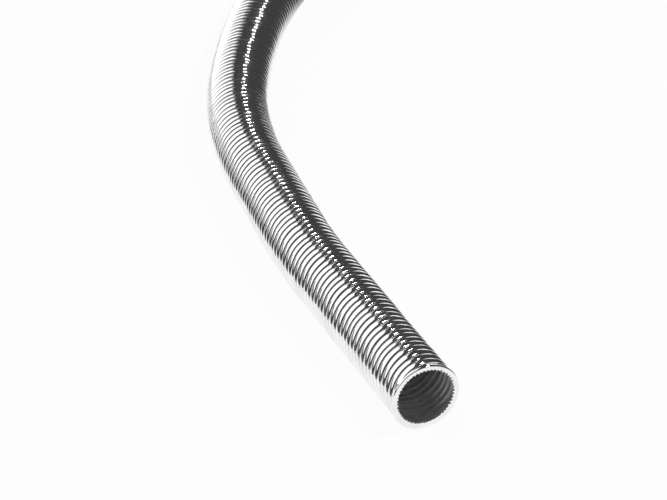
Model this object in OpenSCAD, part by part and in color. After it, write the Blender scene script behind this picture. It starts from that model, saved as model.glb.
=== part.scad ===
// Flexible air duct: a spiral-wound, corrugated tube of aluminium and kraft paper, cut square
// at both ends and lying loose on a flat surface. Three strips are laid on each other, corrugated
// and wound together, so each ply is one unbroken tube that is nested in the ply outside it.
// The origin is the middle of the near mouth, and the duct runs from there along +Y.

/* [Duct] */
// Length of the duct along its centreline
duct_length = 1000; // [1000:5:2000]
// Clear bore between the inner ridges
bore_d = 60; // [40:1:100]
// Height of a rib above the groove beside it
rib_depth = 2.6; // [1.5:0.1:4]
// Distance from one rib to the next, along the duct
rib_pitch = 7.6; // [5.5:0.1:12]
// Ribs side by side on the wound strip, so how many ribs on the rib comes in a turn
starts = 5; // [1:1:6]
// Flats round the duct that stand for its circle
sides = 9; // [6:1:12]

/* [Plies] */
// Thickness of the outer aluminium strip
outer_foil_t = 0.2; // [0.1:0.05:0.4]
// Thickness of the kraft paper between the two foils
paper_t = 0.5; // [0.2:0.05:0.8]
// Thickness of the inner aluminium strip
inner_foil_t = 0.2; // [0.1:0.05:0.4]

/* [Mouths] */
// Width of the smooth band at each cut end
lip_w = 2.4; // [1.5:0.1:4]
// How far the rim stands out past the ribs
lip_flare = 0.6; // [0:0.1:1.5]
// Length at each mouth over which the inside is corrugated, as deep as one can see
ribbed_mouth = 31; // [20:1:100]

/* [Rest] */
// Depth of the flat on the ribs where the duct lies on a surface
flat_depth = 0.5; // [0:0.1:1]

/* [Hidden] */

// Wall built up to the outside of each ply and to the bore: 0 is the outer skin, 3 the bore.
depth_of = [0, outer_foil_t, outer_foil_t + paper_t, outer_foil_t + paper_t + inner_foil_t];
groove_r = bore_d / 2 + depth_of[3];
rib_r = groove_r + rib_depth;

// A polygon whose corners stand this much further out has the same area as the circle.
corner_gain = sqrt((PI / sides) / (sin(180 / sides) * cos(180 / sides)));
axis_h = rib_r * corner_gain * cos(180 / sides) - flat_depth;

// The centreline in plan: each row is a run's length and the degrees that it turns towards +X.
// The last run is straight, takes what is left of the length and ends square.
BENDS = [[215, 0], [105, 6], [125, 1], [175, 19], [140, 8], [165, 13]];
function start_of(k) = k <= 0 ? 0 : start_of(k - 1) + BENDS[k - 1][0];
route = concat(BENDS, [[duct_length - start_of(len(BENDS)), 0]]);

// Place and heading after going a length s along a run that turns by a degrees over length l.
function unit(h) = [sin(h), cos(h)];
function chord(s, turned) = turned == 0 ? s : s * sin(turned / 2) / (turned * PI / 360);
function along(s, k = 0, at = [0, 0], h = 0) =
    let (l = route[k][0], a = route[k][1], last = k == len(route) - 1)
    s <= l || last
    ? let (turned = a * s / l) [at + chord(s, turned) * unit(h + turned / 2), h + turned]
    : along(s - l, k + 1, at + chord(l, a) * unit(h + a / 2), h + a);

// The ribs are helices, so side j + 1 meets each crest and groove a step nearer than side j.
helix_step = starts * rib_pitch / sides;
ribs = floor(duct_length / rib_pitch) + starts;
lip_end = lip_w + rib_pitch / 4;
function helix(j) = [for (m = [0:2 * ribs + 1]) [m * rib_pitch / 2 - (j + 0.5) * helix_step, m % 2]];

// Stations of side j on layer k, as [length along the duct, radius, 1 on a rib]. The outer skin is
// ribbed all along, and the layers inside it near the mouths, where each side leaves off at a groove.
function ribbed(s, room, k) =
    k == 0 || s + room < ribbed_mouth || s - room > duct_length - ribbed_mouth;
function wave(j, k) = [
    for (w = helix(j))
        if (w[0] > lip_end && w[0] < duct_length - lip_end && ribbed(w[0], (1 - w[1]) * rib_pitch / 2, k))
            [w[0], w[1] == 0 ? rib_r : groove_r, 1]
];

// Deeper in, the bore is plain. A chord there bows out by less than the outer strip's thickness.
function steps(k) = ceil(sqrt(route[k][0] * route[k][1] * PI / 180 / (6 * outer_foil_t)));
function plain(k) = k == 0 ? [] : [
    for (i = [0:len(route) - 1]) for (n = [0:max(steps(i), 1) - 1])
        let (s = start_of(i) + route[i][0] * n / max(steps(i), 1))
        if (s > ribbed_mouth + rib_pitch && s < duct_length - ribbed_mouth - rib_pitch) [s, groove_r, 0]
];
function inside(list, from, to) = [for (w = list) if (w[0] >= from && w[0] < to) w];

// At each end the wall goes out to the rim and is turned in over it, down to the clear bore.
function lip(k) = [
    [depth_of[k], bore_d / 2 + depth_of[k], 0], [depth_of[k], rib_r + lip_flare, 0], [lip_w, rib_r, 0]
];
function stations(j, k) = concat(
    lip(k),
    inside(wave(j, k), 0, duct_length / 2),
    plain(k),
    inside(wave(j, k), duct_length / 2, duct_length),
    [for (i = [2:-1:0]) [duct_length - lip(k)[i][0], lip(k)[i][1], 0]]
);

// A corner of the skin: out from the centreline at side j, and never below the surface it lies on.
function corner(w, j, k) =
    let (
        place = along(w[0]),
        a = (j + 0.5) * 360 / sides - 90,
        r = (w[1] - depth_of[k]) * corner_gain,
        across = r * cos(a)
    )
    [
        place[0][0] + across * cos(place[1]),
        place[0][1] - across * sin(place[1]),
        max(r * sin(a), depth_of[k] - axis_h)
    ];

// Triangles between two rows of points, always stepping on along the row that lags behind. Where
// both are ribbed, a place on the second row counts as a helix step further on.
function lags(p, q) = p[0] <= q[0] + 0.001 + p[2] * q[2] * helix_step;
function zip(a, b, i, j, a0, b0) =
    i == len(a) - 1 && j == len(b) - 1 ? [] :
    j == len(b) - 1 || (i < len(a) - 1 && lags(a[i + 1], b[j + 1]))
    ? concat([[a0 + i, b0 + j, a0 + i + 1]], zip(a, b, i + 1, j, a0, b0))
    : concat([[a0 + i, b0 + j, b0 + j + 1]], zip(a, b, i, j + 1, a0, b0));

function sum_to(list, n) = n <= 0 ? 0 : sum_to(list, n - 1) + list[n - 1];
function flip(faces) = [for (f = faces) [f[2], f[1], f[0]]];

// One ply: the skin of layer k outside, the skin of layer k + 1 inside, and a narrow ring at each cut.
module ply(k) {
    outer = [for (j = [0:sides - 1]) stations(j, k)];
    inner = [for (j = [0:sides - 1]) stations(j, k + 1)];
    rows = concat(outer, inner);
    counts = [for (r = rows) len(r)];
    start = [for (i = [0:2 * sides]) sum_to(counts, i)];
    points = [
        for (i = [0:2 * sides - 1]) for (w = rows[i])
            corner(w, i % sides, i < sides ? k : k + 1)
    ];
    function skin(base) = [
        for (j = [0:sides - 1])
            let (a = base + j, b = base + (j + 1) % sides)
            each zip(rows[a], rows[b], 0, 0, start[a], start[b])
    ];
    near = [
        for (j = [0:sides - 1])
            let (
                n = (j + 1) % sides,
                o = start[j], p = start[n], q = start[sides + j], r = start[sides + n]
            )
            each [[o, q, p], [p, q, r]]
    ];
    far = [
        for (j = [0:sides - 1])
            let (
                n = (j + 1) % sides,
                o = start[j + 1] - 1, p = start[n + 1] - 1,
                q = start[sides + j + 1] - 1, r = start[sides + n + 1] - 1
            )
            each [[o, p, q], [p, r, q]]
    ];
    faces = concat(skin(0), flip(skin(sides)), near, far);
    echo(ply = k, triangles = len(faces));
    polyhedron(points = points, faces = faces);
}

// Outer aluminium strip: the bright skin with the spiral rib
module outer_foil() {
    color("silver") ply(0);
}

// Kraft paper strip between the two foils
module paper_core() {
    color("tan") ply(1);
}

// Inner aluminium strip: the lining of the bore
module inner_foil() {
    color("gainsboro") ply(2);
}

echo(ribs = ribs, far_mouth = along(duct_length));

outer_foil();
paper_core();
inner_foil();
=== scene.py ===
"""Flexible air duct: a metre of spiral-wound, corrugated tube, lying bent on a pale floor.

The wall is three strips, wound and corrugated together: bright aluminium outside, kraft paper in
the middle and aluminium inside. All lengths are metres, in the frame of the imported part: the
origin is the middle of the near mouth, +Y runs into the duct and +Z is up.
"""

import math

import bpy
import numpy as np
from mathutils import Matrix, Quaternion, Vector


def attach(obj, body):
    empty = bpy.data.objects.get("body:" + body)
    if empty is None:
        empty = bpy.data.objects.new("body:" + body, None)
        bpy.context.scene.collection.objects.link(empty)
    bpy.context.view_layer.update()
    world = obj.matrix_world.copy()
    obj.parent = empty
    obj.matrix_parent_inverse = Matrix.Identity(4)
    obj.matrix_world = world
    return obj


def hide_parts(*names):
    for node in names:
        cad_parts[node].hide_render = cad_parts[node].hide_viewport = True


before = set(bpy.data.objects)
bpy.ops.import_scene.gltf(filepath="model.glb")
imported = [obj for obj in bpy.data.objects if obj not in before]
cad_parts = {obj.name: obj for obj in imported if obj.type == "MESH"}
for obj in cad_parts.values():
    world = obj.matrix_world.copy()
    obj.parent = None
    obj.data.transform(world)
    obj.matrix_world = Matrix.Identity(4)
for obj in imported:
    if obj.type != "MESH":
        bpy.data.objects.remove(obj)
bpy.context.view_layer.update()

scene = bpy.context.scene
scene.view_settings.view_transform = "Standard"


# ---------------------------------------------------------------- camera
# A long lens on a stand, to the left of the near mouth and looking down on it. The far end of the
# duct lies outside its view.
LENS_MM = 140.5
SENSOR_MM = 36.0
SIGHT_END = 50.0
CAMERA_AT = (-0.8684, -1.7200, 1.3800)
CAMERA_YAW = math.radians(24.29)
CAMERA_PITCH = math.radians(32.39)

lens = bpy.data.cameras.new("camera")
lens.lens = LENS_MM
lens.sensor_width = SENSOR_MM
lens.clip_end = SIGHT_END
camera = bpy.data.objects.new("camera", lens)
camera.location = CAMERA_AT
camera.rotation_euler = (math.pi / 2 - CAMERA_PITCH, 0.0, -CAMERA_YAW)
scene.collection.objects.link(camera)
scene.camera = camera


# ---------------------------------------------------------------- outer aluminium strip
# The bright skin of the duct: one strip of thin soft aluminium, pressed into round ribs with narrow
# grooves between them, then wound edge over edge, so the ribs run round as helices. The ends are cut
# with a knife and turned in over the rim by hand.
DUCT_LENGTH = 1.0
BORE_R = 0.030
FOIL_T = 0.0002
PAPER_T = 0.0005
WALL = 2 * FOIL_T + PAPER_T
OUTER_STRIP = (0.0, FOIL_T)       # how far the strip's two faces lie inside the duct's skin
RIB_DEPTH = 0.0026
RIB_PITCH = 0.0076
STARTS = 5                        # ribs side by side on the strip
CREST_SHARE = 0.45                # share of a rib's height that is in the curve of its crest
GROOVE_HALF = 0.08                # half width of a groove, in pitches
CREST_R = BORE_R + WALL + RIB_DEPTH
FLAT_DEPTH = 0.0005               # how far the ribs are pressed in where the duct lies on the floor
FLOOR_Z = FLAT_DEPTH - CREST_R
RIM_FLARE = 0.0006
RIM_R = CREST_R + RIM_FLARE
LIP_BEND = 0.0012                 # radius of the turned-over rim
LIP_IN = 0.0289                   # radius of the lip's cut edge
LIP_SAG = 0.0020                  # how much less it is at the bottom
LIP_DISH = 0.0003                 # how far the cut edge is pushed into the mouth
LIP_BAND = 0.0026                 # where the ribs begin, from the end
LIP_FADE = 0.0014                 # how far on from there they have their full depth
SIDES = 50                        # sides of the ribbed skin
LIP_SPLIT = 3                     # sides of a lip for each side of the ribbed skin
LIP_SIDES = LIP_SPLIT * SIDES
FLANGE_ROWS = 5                   # rows of points across a lip's flange
BEND_ROWS = 5                     # and round its rim
KEY_STEPS = 1e7                   # points are told apart by tenths of a micrometre

# Rows of points in each rib, in pitches from a groove: on the outside, and on a face that is glued.
OUTSIDE_ROWS = (0.0, 0.06, 0.12, 0.22, 0.4, 0.6, 0.78, 0.88, 0.94)
HIDDEN_ROWS = (0.0, 0.12, 0.36, 0.64, 0.88)

# Waves left by winding and handling: wavelength along the duct, waves round it and height.
HAND_WAVES = [(0.171, 1, 0.00014), (0.093, 2, 0.00010), (0.047, -1, 0.00006), (0.0233, 3, 0.00005),
              (0.0171, -4, 0.00005), (0.0117, 2, 0.00003)]
HAND_SEED = 7
hand_start = np.random.default_rng(HAND_SEED).uniform(0.0, 2 * math.pi, len(HAND_WAVES))

# Uneven spacing of the ribs, in the same terms, with the shift along the duct in place of the height.
RIB_DRIFT = [(0.061, 1, 0.00045), (0.029, -2, 0.00028), (0.0153, 3, 0.00016)]
DRIFT_SEED = 5
DRIFT_FADE = 0.012                # how far on from the lip's band the shift is a full one
drift_start = np.random.default_rng(DRIFT_SEED).uniform(0.0, 2 * math.pi, len(RIB_DRIFT))

# Teeth that the knife leaves on a cut edge: their least and greatest depth, and how far out each of a
# tooth's three points stands from the mean edge, in depths.
TEETH = (0.0012, 0.0032)
TOOTH_SHAPE = (-0.5, 0.1, 0.5)
TOOTH_SEED = 11
tooth_size = np.random.default_rng(TOOTH_SEED).uniform(*TEETH, (2, SIDES))
teeth = np.repeat(tooth_size, LIP_SPLIT, axis=1) * np.tile(TOOTH_SHAPE, SIDES)

# The duct's route: each run's length, and the degrees that it turns towards +X. The last run is
# straight and takes what is left of the length.
BENDS = [(0.215, 0), (0.105, 6), (0.125, 1), (0.175, 19), (0.140, 8), (0.165, 13)]
RUNS = BENDS + [(DUCT_LENGTH - sum(length for length, degrees in BENDS), 0)]


def route(s):
    """Places on the centreline and headings at the lengths s: each run is an arc of one radius, so
    a place is the run's start plus the chord of the arc gone so far."""
    place = np.zeros(s.shape + (2,))
    heading = np.zeros(s.shape)
    at = np.zeros(2)
    start = 0.0
    turned = 0.0
    for length, degrees in RUNS:
        bend = math.radians(degrees)
        gone = np.clip(s - start, 0.0, length)
        angle = bend * gone / length
        chord = gone * np.sinc(angle / (2 * math.pi))
        way = turned + angle / 2
        here = s >= start
        place[here] = (at + chord[..., None] * np.stack([np.sin(way), np.cos(way)], -1))[here]
        heading[here] = (turned + angle)[here]
        end_way = turned + bend / 2
        reach = length * np.sinc(bend / (2 * math.pi))
        at = at + reach * np.array([math.sin(end_way), math.cos(end_way)])
        turned += bend
        start += length
    return place, heading


def smooth(x):
    """A smooth step from 0 to 1 as x goes from 0 to 1: 3x^2 - 2x^3."""
    x = np.clip(x, 0.0, 1.0)
    return x * x * (3 - 2 * x)


def waves(s, turn, table, starts):
    """The sum of height * cos(2 pi (s / wavelength + around turn) + start) over the table's rows."""
    total = np.zeros(np.broadcast(s, turn).shape)
    for (wavelength, around, height), start in zip(table, starts):
        total += height * np.cos(2 * math.pi * (s / wavelength + around * turn) + start)
    return total


def drift(s, turn):
    """How far handling has shifted each part of the skin along the duct: waves that fade out at the
    ends."""
    from_end = np.minimum(s, DUCT_LENGTH - s)
    return waves(s, turn, RIB_DRIFT, drift_start) * smooth((from_end - LIP_BAND) / DRIFT_FADE)


def rib_height(s, turn):
    """Height of the skin between a groove (0) and a crest (1). With x pitches to the nearest groove it
    is 1 - c (1 - 2x)^2 - (1 - c) exp(-(x / w)^2), which fades to a plain band at the two lips."""
    away = np.abs((s / RIB_PITCH + STARTS * turn) % 1.0 - 0.5)
    crest_drop = CREST_SHARE * (1 - 2 * away) ** 2
    groove_drop = (1 - CREST_SHARE) * np.exp(-((away / GROOVE_HALF) ** 2))
    from_end = np.minimum(s, DUCT_LENGTH - s)
    return 1 - (crest_drop + groove_drop) * smooth((from_end - LIP_BAND) / LIP_FADE)


def skin_radius(s, turn):
    """Radius of the duct's skin: the groove's radius, the rib's height, the rim's flare, which dies out
    as the ribs begin, and the hand waves."""
    from_end = np.minimum(s, DUCT_LENGTH - s)
    flare = RIM_FLARE * (1 - smooth((from_end - LIP_BEND) / (LIP_BAND + LIP_FADE)))
    plain = BORE_R + WALL + RIB_DEPTH * rib_height(s, turn) + flare
    return plain + waves(s, turn, HAND_WAVES, hand_start)


def on_duct(s, turn, radius, depth):
    """Points at length s and turn of the way round from underneath: out from the centreline by the
    radius, square to the heading, and pressed flat where the duct lies on the floor."""
    place, heading = route(s)
    angle = 2 * math.pi * turn - math.pi / 2
    across = radius * np.cos(angle)
    return np.stack([
        place[..., 0] + across * np.cos(heading),
        place[..., 1] - across * np.sin(heading),
        np.maximum(radius * np.sin(angle), FLOOR_Z + depth),
    ], -1)


def lip_points(depth, far):
    """Points of a lip, in rows from its ragged cut edge to the band outside the rim: a flange across
    the mouth, then a quarter turn of radius LIP_BEND less the depth. The teeth die out over the flange
    as the cube of what is left of it, and the sag at the bottom does too."""
    reach = np.linspace(0.0, 1.0, FLANGE_ROWS)
    swing = np.linspace(0.0, math.pi / 2, BEND_ROWS + 1)[1:]
    flange_r = LIP_IN + (RIM_R - LIP_BEND - LIP_IN) * reach
    flange_s = depth + LIP_DISH * (1 - reach) ** 2
    from_end = np.concatenate([flange_s, LIP_BEND - (LIP_BEND - depth) * np.cos(swing)])
    radius = np.concatenate([flange_r, RIM_R - LIP_BEND + (LIP_BEND - depth) * np.sin(swing)])
    ragged = np.concatenate([(1 - reach) ** 3, np.zeros(BEND_ROWS)])
    row_s = DUCT_LENGTH - from_end if far else from_end
    s = np.broadcast_to(row_s[:, None], (len(row_s), LIP_SIDES))
    turn = np.arange(LIP_SIDES) / LIP_SIDES
    cut = teeth[int(far)] - LIP_SAG * (0.5 + 0.5 * np.cos(2 * math.pi * turn)) ** 2
    radius = radius[:, None] + ragged[:, None] * cut + waves(s, turn, HAND_WAVES, hand_start)
    return on_duct(s, turn, radius, depth)


def triangles(p, q, r):
    """Triangles between three arrays of point numbers, one for each place in the arrays."""
    return np.stack([p, q, r], -1).reshape(-1, 3)


def lip_faces(rows, ring, first):
    """Triangles of a lip whose points start at index first, and of the band from it to a ring of the
    ribbed skin, where three sides of the lip meet one side of the ring."""
    grid = first + np.arange(rows * LIP_SIDES).reshape(rows, LIP_SIDES)
    a = grid[:-1]
    b = np.roll(a, -1, axis=1)
    d = grid[1:]
    c = np.roll(d, -1, axis=1)
    last = np.append(grid[-1], grid[-1][0])
    p0, p1, p2, p3 = (last[i:i + LIP_SIDES:LIP_SPLIT] for i in range(LIP_SPLIT + 1))
    after = np.roll(ring, -1)
    return np.concatenate([
        triangles(a, b, c),
        triangles(a, c, d),
        triangles(p0, p1, ring),
        triangles(p1, after, ring),
        triangles(p1, p2, after),
        triangles(p2, p3, after),
    ])


def skin(depth, rows, outward):
    """One face of a strip: its points, its triangles, how deep in a groove each point is, and the
    points of its two cut edges. Rows of points follow the ribs and are cut off square at the lips;
    points that the cut brings together are merged, and triangles that it closes up are dropped."""
    turn = np.arange(SIDES + 1) / SIDES
    count = math.ceil(DUCT_LENGTH / RIB_PITCH) + STARTS
    along = (np.arange(-1, count + 1)[:, None] + 0.5 + np.array(rows)).ravel()
    s = np.clip((along[:, None] - STARTS * turn) * RIB_PITCH, LIP_BAND, DUCT_LENGTH - LIP_BAND)
    side = np.broadcast_to(np.arange(SIDES + 1) % SIDES, s.shape)
    key = np.round(s * KEY_STEPS).astype(np.int64) * SIDES + side
    first, index = np.unique(key.ravel(), return_index=True, return_inverse=True)[1:]
    index = index.reshape(s.shape)
    s = s.ravel()[first]
    turn = side.ravel()[first] / SIDES
    ribbed = on_duct(s + drift(s, turn), turn, skin_radius(s, turn) - depth, depth)
    a = index[:-1, :-1]
    b = index[:-1, 1:]
    c = index[1:, 1:]
    d = index[1:, :-1]
    faces = np.concatenate([triangles(a, c, b), triangles(a, d, c)])
    faces = faces[(faces != np.roll(faces, 1, axis=1)).all(axis=1)]
    near = lip_points(depth, False)
    far = lip_points(depth, True)
    near_first = len(ribbed)
    far_first = near_first + near[..., 0].size
    near_faces = lip_faces(len(near), index[0, :-1], near_first)[:, ::-1]
    far_faces = lip_faces(len(far), index[-1, :-1], far_first)
    points = np.concatenate([ribbed, near.reshape(-1, 3), far.reshape(-1, 3)])
    faces = np.concatenate([faces, near_faces, far_faces])
    if not outward:
        faces = faces[:, ::-1]
    deep = np.zeros(len(points))
    deep[:len(ribbed)] = 1 - rib_height(s, turn)
    edges = (near_first + np.arange(LIP_SIDES), far_first + np.arange(LIP_SIDES))
    return points, faces, deep, edges


def wound_strip(name, depths, outer_rows, inner_rows):
    """A strip as a closed shell: its outer and inner face, joined by a narrow ring at each cut."""
    outer, outer_faces, outer_deep, outer_edges = skin(depths[0], outer_rows, True)
    inner, inner_faces, inner_deep, inner_edges = skin(depths[1], inner_rows, False)
    rings = []
    for out, into, far in zip(outer_edges, inner_edges, (False, True)):
        p = out
        q = np.roll(out, -1)
        t = into + len(outer)
        r = np.roll(t, -1)
        ring = np.concatenate([triangles(p, q, r), triangles(p, r, t)])
        rings.append(ring[:, ::-1] if far else ring)
    points = np.concatenate([outer, inner])
    faces = np.concatenate([outer_faces, inner_faces + len(outer)] + rings)
    mesh = bpy.data.meshes.new(name)
    mesh.vertices.add(len(points))
    mesh.vertices.foreach_set("co", points.ravel())
    mesh.loops.add(faces.size)
    mesh.loops.foreach_set("vertex_index", faces.ravel())
    mesh.polygons.add(len(faces))
    mesh.polygons.foreach_set("loop_start", np.arange(0, faces.size, 3))
    mesh.polygons.foreach_set("loop_total", np.full(len(faces), 3))
    shaded = np.ones(len(faces), bool)
    shaded[len(outer_faces) + len(inner_faces):] = False
    mesh.polygons.foreach_set("use_smooth", shaded)
    groove = mesh.attributes.new("groove", "FLOAT", "POINT")
    groove.data.foreach_set("value", np.concatenate([outer_deep, inner_deep]))
    mesh.update(calc_edges=True)
    mesh.validate()
    piece = bpy.data.objects.new(name, mesh)
    scene.collection.objects.link(piece)
    return piece


outer_foil = wound_strip("outer_foil_wound", OUTER_STRIP, OUTSIDE_ROWS, HIDDEN_ROWS)


def reckon(tree, operation, *values):
    """The output of a Math node that works on numbers and on other nodes' outputs."""
    node = tree.nodes.new("ShaderNodeMath")
    node.operation = operation
    for socket, value in zip(node.inputs, values):
        if isinstance(value, bpy.types.NodeSocket):
            tree.links.new(value, socket)
        else:
            socket.default_value = value
    return node.outputs[0]


def fade(tree, value, low, high):
    """A smooth step of a value, from 0 at low to 1 at high: 3x^2 - 2x^3 in between."""
    node = tree.nodes.new("ShaderNodeMapRange")
    node.interpolation_type = "SMOOTHSTEP"
    node.inputs["From Min"].default_value = low
    node.inputs["From Max"].default_value = high
    tree.links.new(value, node.inputs["Value"])
    return node.outputs[0]


def mottle(tree, at, per_metre, detail):
    """Noise from 0 to 1 at the points given, with so many lumps to the metre."""
    node = tree.nodes.new("ShaderNodeTexNoise")
    node.inputs["Scale"].default_value = per_metre
    node.inputs["Detail"].default_value = detail
    tree.links.new(at, node.inputs["Vector"])
    return node.outputs["Fac"]


def blend_tones(tree, share, first, second):
    """A tone that goes from the first to the second, which is a colour, with the share."""
    node = tree.nodes.new("ShaderNodeMix")
    node.data_type = "RGBA"
    if isinstance(first, bpy.types.NodeSocket):
        tree.links.new(first, node.inputs["A"])
    else:
        node.inputs["A"].default_value = first
    node.inputs["B"].default_value = second
    tree.links.new(share, node.inputs["Factor"])
    return node.outputs["Result"]


def emboss(tree, shader, height, metres):
    """Tilts a shader's normal by a height map, whose 1 stands for so many metres."""
    bump = tree.nodes.new("ShaderNodeBump")
    bump.inputs["Distance"].default_value = metres
    tree.links.new(height, bump.inputs["Height"])
    tree.links.new(bump.outputs["Normal"], shader.inputs["Normal"])


# Marks that both foils have, on object coordinates: a height map in metres of broad dimples, creases
# and rolling grain, and a mask of the places that handling has dulled.
DIMPLES = (95.0, 2.0)             # how many to the metre, and how fine their detail
DIMPLE_HEIGHT = 0.00016
CREASES_PER_METRE = 210.0
CREASE_HALF = 0.16                # half width of a crease, in cells
CREASE_HEIGHT = 0.000010
GRAIN = (900.0, 3.0)
GRAIN_HEIGHT = 0.000006
PATCHES = (38.0, 5.0)
PATCH_RANGE = (0.42, 0.68)        # from a clean place to a dulled one
marks = bpy.data.node_groups.new("foil_marks", "ShaderNodeTree")
marks.interface.new_socket("Vector", in_out="INPUT", socket_type="NodeSocketVector")
marks.interface.new_socket("Height", in_out="OUTPUT", socket_type="NodeSocketFloat")
marks.interface.new_socket("Dull", in_out="OUTPUT", socket_type="NodeSocketFloat")
given = marks.nodes.new("NodeGroupInput").outputs["Vector"]
made = marks.nodes.new("NodeGroupOutput")
creases = marks.nodes.new("ShaderNodeTexVoronoi")
creases.feature = "DISTANCE_TO_EDGE"
creases.inputs["Scale"].default_value = CREASES_PER_METRE
marks.links.new(given, creases.inputs["Vector"])
off_crease = fade(marks, creases.outputs["Distance"], 0.0, CREASE_HALF)
height = reckon(marks, "MULTIPLY", mottle(marks, given, *DIMPLES), DIMPLE_HEIGHT)
height = reckon(marks, "MULTIPLY_ADD", off_crease, CREASE_HEIGHT, height)
height = reckon(marks, "MULTIPLY_ADD", mottle(marks, given, *GRAIN), GRAIN_HEIGHT, height)
dull = fade(marks, mottle(marks, given, *PATCHES), *PATCH_RANGE)
marks.links.new(height, made.inputs["Height"])
marks.links.new(dull, made.inputs["Dull"])


def rolled_foil(name, metallic, clean, dulled, painted_groove_tone, groove_range, roughness, groove_roughness):
    """A foil's material. Its tone goes from clean to dulled by the marks, and to the painted groove tone
    down in the grooves, which is painted light; its roughness goes between two values by the marks, and
    more is added in a groove."""
    material = bpy.data.materials.new(name)
    material.use_nodes = True
    tree = material.node_tree
    shader = tree.nodes["Principled BSDF"]
    shader.inputs["Metallic"].default_value = metallic
    foil = tree.nodes.new("ShaderNodeGroup")
    foil.node_tree = marks
    tree.links.new(tree.nodes.new("ShaderNodeTexCoord").outputs["Object"], foil.inputs["Vector"])
    deep = tree.nodes.new("ShaderNodeAttribute")
    deep.attribute_name = "groove"
    in_groove = fade(tree, deep.outputs["Fac"], *groove_range)
    tone = blend_tones(tree, foil.outputs["Dull"], clean, dulled)
    # Painted light down in the grooves: painted shade on the outer foil, a painted highlight on the
    # lining's ridges.
    tone = blend_tones(tree, in_groove, tone, painted_groove_tone)
    least, most = roughness
    rough = reckon(tree, "MULTIPLY_ADD", foil.outputs["Dull"], most - least, least)
    rough = reckon(tree, "MULTIPLY_ADD", in_groove, groove_roughness, rough)
    tree.links.new(tone, shader.inputs["Base Color"])
    tree.links.new(rough, shader.inputs["Roughness"])
    emboss(tree, shader, foil.outputs["Height"], 1.0)
    return material


# Bright foil: near-white aluminium, polished by the rollers and duller in patches. Down in the grooves
# it is greyed with dust and oxide, and with painted shade where the grooves fall into shade.
bright_foil = rolled_foil(
    "bright_rolled_foil",
    metallic=1.0,
    clean=(0.93, 0.935, 0.94, 1.0),
    dulled=(0.86, 0.868, 0.88, 1.0),
    # painted shade in the grooves, together with dust and oxide
    painted_groove_tone=(0.32, 0.32, 0.325, 1.0),
    groove_range=(0.3, 0.85),
    roughness=(0.075, 0.15),
    groove_roughness=0.3,
)
outer_foil.data.materials.append(bright_foil)
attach(outer_foil, "root")
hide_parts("outer_foil")


# ---------------------------------------------------------------- kraft-paper strip
# Brown kraft paper, glued between the two foils and corrugated with them. Only its cut edge shows,
# on the inside of each lip.
PAPER_STRIP = (FOIL_T, FOIL_T + PAPER_T)
paper_core = wound_strip("paper_core_wound", PAPER_STRIP, HIDDEN_ROWS, HIDDEN_ROWS)

# Kraft paper: matt, with long fibres that stand up a little and a slow change of tone.
PAPER_ROUGHNESS = 0.85
FIBRE_STRETCH = (1.0, 0.22, 1.0)
FIBRES = (1400.0, 4.0)            # how many to the metre, and how fine their detail
CLOUDS = (60.0, 2.0)
FIBRE_SHARE = 0.6                 # share of the fibres in the tone, against the clouds
FIBRE_HEIGHT = 0.00005
TONE_RANGE = (0.3, 0.7)
DARK_BROWN = (0.25, 0.165, 0.09, 1.0)
LIGHT_BROWN = (0.50, 0.36, 0.22, 1.0)
kraft = bpy.data.materials.new("kraft_paper")
kraft.use_nodes = True
tree = kraft.node_tree
shader = tree.nodes["Principled BSDF"]
shader.inputs["Roughness"].default_value = PAPER_ROUGHNESS
on_paper = tree.nodes.new("ShaderNodeTexCoord").outputs["Object"]
stretch = tree.nodes.new("ShaderNodeMapping")
stretch.inputs["Scale"].default_value = FIBRE_STRETCH
tree.links.new(on_paper, stretch.inputs["Vector"])
fibres = mottle(tree, stretch.outputs["Vector"], *FIBRES)
clouds = reckon(tree, "MULTIPLY", mottle(tree, on_paper, *CLOUDS), 1 - FIBRE_SHARE)
browns = tree.nodes.new("ShaderNodeValToRGB")
for stop, position, colour in zip(browns.color_ramp.elements, TONE_RANGE, (DARK_BROWN, LIGHT_BROWN)):
    stop.position = position
    stop.color = colour
tree.links.new(reckon(tree, "MULTIPLY_ADD", fibres, FIBRE_SHARE, clouds), browns.inputs["Fac"])
tree.links.new(browns.outputs["Color"], shader.inputs["Base Color"])
emboss(tree, shader, fibres, FIBRE_HEIGHT)
paper_core.data.materials.append(kraft)
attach(paper_core, "root")
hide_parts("paper_core")


# ---------------------------------------------------------------- inner aluminium strip
# The lining of the bore: the same foil with its satin side to the air, so the ribs are broad flutes
# between narrow ridges.
INNER_STRIP = (FOIL_T + PAPER_T, WALL)
BORE_ROWS = (0.0, 0.06, 0.12, 0.24, 0.5, 0.76, 0.88, 0.94)
inner_foil = wound_strip("inner_foil_wound", INNER_STRIP, HIDDEN_ROWS, BORE_ROWS)

# Satin foil: greyer and rougher than the outside. The ridges, which are the grooves seen from inside,
# carry a painted highlight: they are painted a little brighter, but made no smoother.
satin_foil = rolled_foil(
    "satin_rolled_foil",
    metallic=0.45,
    clean=(0.78, 0.785, 0.795, 1.0),
    dulled=(0.66, 0.66, 0.67, 1.0),
    # a painted highlight on the ridges
    painted_groove_tone=(0.85, 0.855, 0.865, 1.0),
    groove_range=(0.55, 0.95),
    roughness=(0.45, 0.6),
    groove_roughness=0.0,
)
inner_foil.data.materials.append(satin_foil)
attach(inner_foil, "root")
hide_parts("inner_foil")

CENTRE_POINTS = 201
centre_place = route(np.linspace(0.0, DUCT_LENGTH, CENTRE_POINTS))[0]
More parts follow.
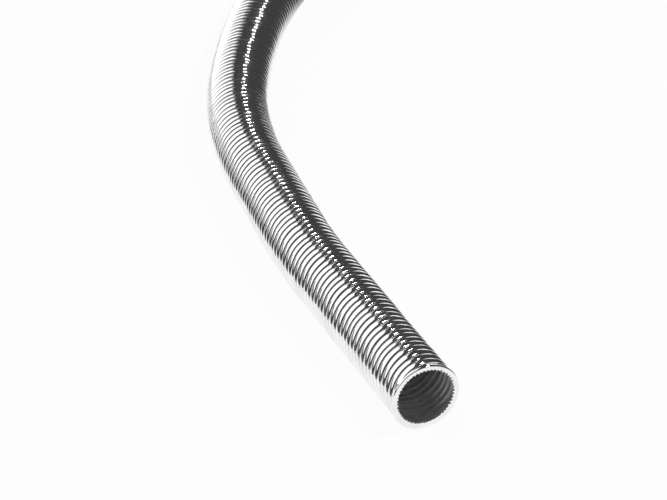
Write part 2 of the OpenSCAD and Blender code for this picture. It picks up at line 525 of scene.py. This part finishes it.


# ---------------------------------------------------------------- floor
# A plain pale floor that takes the duct's shadow. The foil does not mirror the lit floor: glossy rays
# see a painted reflection that glows, a pale sheet under the duct, which ends a little to the left of
# it and further to its right, and beyond it a band of painted shade. The duct's shadow does not show in
# it.
FLOOR_HALF = 12.0
SHEET_LEFT = (-0.105, -0.075)     # where the sheet ends on the left, and where it has faded in
SHEET_RIGHT = (0.24, 0.14)        # the same on the right
SHEET_BACK = (0.60, 0.80)         # beyond this it goes on to the left without an end
LEFT_TURN = 0.46                  # up to here its left edge draws in
LEFT_SLOPE = 0.35                 # and by how much for each metre
RIGHT_TURN = 0.40                 # from here its right edge turns away with the duct
RIGHT_SLOPE = 0.12
SHEET_LEVEL = 0.95
PAINTED_DARK_LEVEL = 0.06
SEEN_SHARE = 0.94                 # how far the camera sees the floor as plain white
FLOOR_PAINT = (0.9, 0.9, 0.9, 1.0)
floor_mesh = bpy.data.meshes.new("floor")
floor_signs = ((-1, -1), (1, -1), (1, 1), (-1, 1))
floor_corners = [(x * FLOOR_HALF, y * FLOOR_HALF, FLOOR_Z) for x, y in floor_signs]
floor_mesh.from_pydata(floor_corners, [], [(0, 1, 2, 3)])
floor = bpy.data.objects.new("floor", floor_mesh)
scene.collection.objects.link(floor)
paint = bpy.data.materials.new("white_floor")
paint.use_nodes = True
tree = paint.node_tree
tree.nodes.clear()
spot = tree.nodes.new("ShaderNodeSeparateXYZ")
tree.links.new(tree.nodes.new("ShaderNodeTexCoord").outputs["Object"], spot.inputs[0])
before_turn = reckon(tree, "SUBTRACT", LEFT_TURN, spot.outputs["Y"])
before_turn = reckon(tree, "MAXIMUM", before_turn, 0.0)
from_left = reckon(tree, "MULTIPLY_ADD", before_turn, LEFT_SLOPE, spot.outputs["X"])
past_turn = reckon(tree, "SUBTRACT", spot.outputs["Y"], RIGHT_TURN)
past_turn = reckon(tree, "MAXIMUM", past_turn, 0.0)
from_right = reckon(tree, "MULTIPLY_ADD", past_turn, -RIGHT_SLOPE, spot.outputs["X"])
back_part = fade(tree, spot.outputs["Y"], *SHEET_BACK)
left_part = reckon(tree, "MAXIMUM", fade(tree, from_left, *SHEET_LEFT), back_part)
sheet = reckon(tree, "MULTIPLY", left_part, fade(tree, from_right, *SHEET_RIGHT))
# The painted reflection: how brightly the floor glows for glossy rays, pale on the sheet and painted
# dark beyond it.
sheen = reckon(tree, "MULTIPLY_ADD", sheet, SHEET_LEVEL - PAINTED_DARK_LEVEL, PAINTED_DARK_LEVEL)
ray = tree.nodes.new("ShaderNodeLightPath")
matt = tree.nodes.new("ShaderNodeBsdfDiffuse")
matt.inputs["Color"].default_value = FLOOR_PAINT
painted_reflection = tree.nodes.new("ShaderNodeEmission")
tree.links.new(sheen, painted_reflection.inputs["Strength"])
in_camera = tree.nodes.new("ShaderNodeEmission")
mirrored = tree.nodes.new("ShaderNodeMixShader")
tree.links.new(ray.outputs["Is Glossy Ray"], mirrored.inputs["Fac"])
tree.links.new(matt.outputs["BSDF"], mirrored.inputs[1])
tree.links.new(painted_reflection.outputs["Emission"], mirrored.inputs[2])
seen = tree.nodes.new("ShaderNodeMixShader")
tree.links.new(reckon(tree, "MULTIPLY", ray.outputs["Is Camera Ray"], SEEN_SHARE), seen.inputs["Fac"])
tree.links.new(mirrored.outputs["Shader"], seen.inputs[1])
tree.links.new(in_camera.outputs["Emission"], seen.inputs[2])
tree.links.new(seen.outputs["Shader"], tree.nodes.new("ShaderNodeOutputMaterial").inputs["Surface"])
floor_mesh.materials.append(paint)


# ---------------------------------------------------------------- room
# A dim studio, by direction in degrees, with azimuth from +Y towards +X. A pale wall goes from beyond
# the duct round to the left and up to overhead. At about 28 degrees up it reaches further right, and
# on the left it begins higher up. The camera sees plain white in its place.
WALL_LEFT = (-110.0, -94.0)       # where the wall ends on the left, and where it has faded in
WALL_RIGHT = 4.5
WALL_SOFT = 3.0                   # half width of its right edge
WALL_REACH = 9.5                  # how much further right it reaches part of the way up
REACH_LOW = (18.0, 27.0)
REACH_HIGH = (40.0, 30.0)
FOOT_SIDE = (-23.0, -33.0)        # left of this the wall begins higher up
FOOT_RISE = 9.0
FOOT_SOFT = 1.0
WALL_LEVEL = 1.15
ROOM_LEVEL = 0.05
world = bpy.data.worlds.new("studio")
scene.world = world
world.use_nodes = True
tree = world.node_tree
tree.nodes.clear()
way = tree.nodes.new("ShaderNodeSeparateXYZ")
tree.links.new(tree.nodes.new("ShaderNodeTexCoord").outputs["Generated"], way.inputs[0])
azimuth = reckon(tree, "ARCTAN2", way.outputs["X"], way.outputs["Y"])
azimuth = reckon(tree, "DEGREES", azimuth)
height = reckon(tree, "ARCSINE", way.outputs["Z"])
height = reckon(tree, "DEGREES", height)
reach = reckon(tree, "MULTIPLY", fade(tree, height, *REACH_LOW), fade(tree, height, *REACH_HIGH))
past_edge = reckon(tree, "MULTIPLY_ADD", reach, -WALL_REACH, azimuth)
right_part = fade(tree, past_edge, WALL_RIGHT + WALL_SOFT, WALL_RIGHT - WALL_SOFT)
above_foot = reckon(tree, "MULTIPLY_ADD", fade(tree, azimuth, *FOOT_SIDE), -FOOT_RISE, height)
foot_part = fade(tree, above_foot, -FOOT_SOFT, FOOT_SOFT)
wall = reckon(tree, "MULTIPLY", fade(tree, azimuth, *WALL_LEFT), right_part)
wall = reckon(tree, "MULTIPLY", wall, foot_part)
level = reckon(tree, "MULTIPLY_ADD", wall, WALL_LEVEL, ROOM_LEVEL)
ray = tree.nodes.new("ShaderNodeLightPath")
room = tree.nodes.new("ShaderNodeBackground")
room.inputs["Color"].default_value = (1.0, 1.0, 1.0, 1.0)
tree.links.new(reckon(tree, "MAXIMUM", level, ray.outputs["Is Camera Ray"]), room.inputs["Strength"])
tree.links.new(room.outputs["Background"], tree.nodes.new("ShaderNodeOutputWorld").inputs["Surface"])


# ---------------------------------------------------------------- lamps
# A soft elliptical lamp, high up to the right of the camera, gives each rib its highlight, and a low
# panel gives the ribs on the right something pale to mirror.
LAMP_AZIMUTH = math.radians(120.0)
LAMP_HEIGHT = math.radians(60.0)
LAMP_DISTANCE = 2.4
LAMP_AIM = np.array([0.05, 0.4, 0.0])
LAMP_SIZE = (0.44, 0.22)
LAMP_ROLL = Quaternion((0.0, 0.0, 1.0), math.radians(-50.0))
LAMP_WATTS = 28.0
lamp_way = np.array([
    math.sin(LAMP_AZIMUTH) * math.cos(LAMP_HEIGHT),
    math.cos(LAMP_AZIMUTH) * math.cos(LAMP_HEIGHT),
    math.sin(LAMP_HEIGHT),
])
lamp_data = bpy.data.lights.new("soft_lamp", "AREA")
lamp_data.shape = "ELLIPSE"
lamp_data.size = LAMP_SIZE[0]
lamp_data.size_y = LAMP_SIZE[1]
lamp_data.energy = LAMP_WATTS
lamp = bpy.data.objects.new("soft_lamp", lamp_data)
lamp.location = LAMP_AIM + lamp_way * LAMP_DISTANCE
lamp.rotation_euler = (Vector(tuple(-lamp_way)).to_track_quat("-Z", "Y") @ LAMP_ROLL).to_euler()
scene.collection.objects.link(lamp)

# The panel stands on the right, beyond the near half of the duct, and faces it. It is in the camera's
# view, so it is only seen in the foil. At level L it gives off L times pi watts a square metre.
PANEL_X = (0.25, 0.52)
PANEL_Y = 0.56
PANEL_TOP = 0.16
PANEL_LEVEL = 1.1
panel_width = PANEL_X[1] - PANEL_X[0]
panel_height = PANEL_TOP - FLOOR_Z
panel_data = bpy.data.lights.new("side_panel", "AREA")
panel_data.shape = "RECTANGLE"
panel_data.size = panel_width
panel_data.size_y = panel_height
panel_data.energy = PANEL_LEVEL * math.pi * panel_width * panel_height
panel = bpy.data.objects.new("side_panel", panel_data)
panel.location = (sum(PANEL_X) / 2, PANEL_Y, (PANEL_TOP + FLOOR_Z) / 2)
panel.rotation_euler = (-math.pi / 2, 0.0, 0.0)
panel.visible_camera = False
panel.visible_diffuse = False
scene.collection.objects.link(panel)
